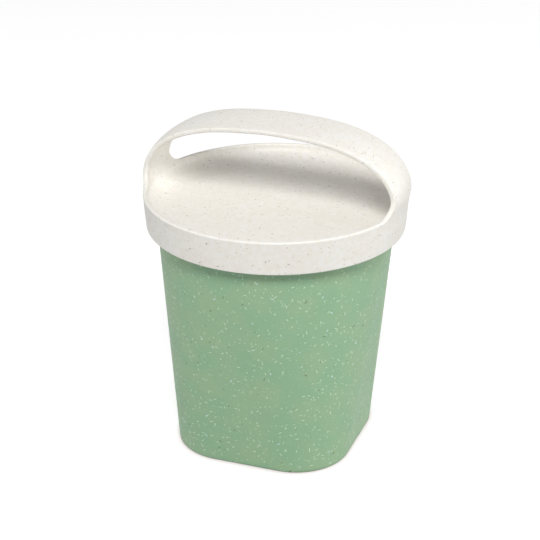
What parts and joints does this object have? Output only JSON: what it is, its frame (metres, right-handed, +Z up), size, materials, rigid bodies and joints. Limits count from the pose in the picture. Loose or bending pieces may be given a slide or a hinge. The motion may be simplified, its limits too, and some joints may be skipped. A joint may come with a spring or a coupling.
{
  "type": "food storage container",
  "caption": "Tapered food storage pot with a rounded-square foot, a round mouth, a twist-on lid with a broad strap handle and a seal ring.",
  "frame": {"origin": "centre of the foot, on the surface that the pot stands on", "axes": "+Z up along the pot's axis, +X along the strap handle, -Y towards the front"},
  "size_m": [0.1202, 0.1186, 0.1525],
  "materials": {
    "pot": "soft matte sage green plastic with short pale wood fibres in it",
    "lid": "semi-matte warm off-white plastic with sparse brown and grey fibre specks",
    "seal": "soft milky silicone"
  },
  "bodies": {
    "container": {"container_body": "pot"},
    "seal": {"seal_ring": "seal"},
    "lid": {"lid": "lid"}
  },
  "joints": [
    {"name": "lid_rise", "type": "slide", "parent": "container", "child": "seal", "axis": [0, 0, 1], "range_m": [0, 0.0241]},
    {"name": "lid_twist", "type": "hinge", "parent": "seal", "child": "lid", "pos_m": [0, 0, 0.1046], "axis": [0, 0, 1], "range_deg": [0, 720]}
  ],
  "couplings": [
    {"joint": "lid_rise", "follows": "lid_twist", "m_per_rad": 0.0019099}
  ]
}
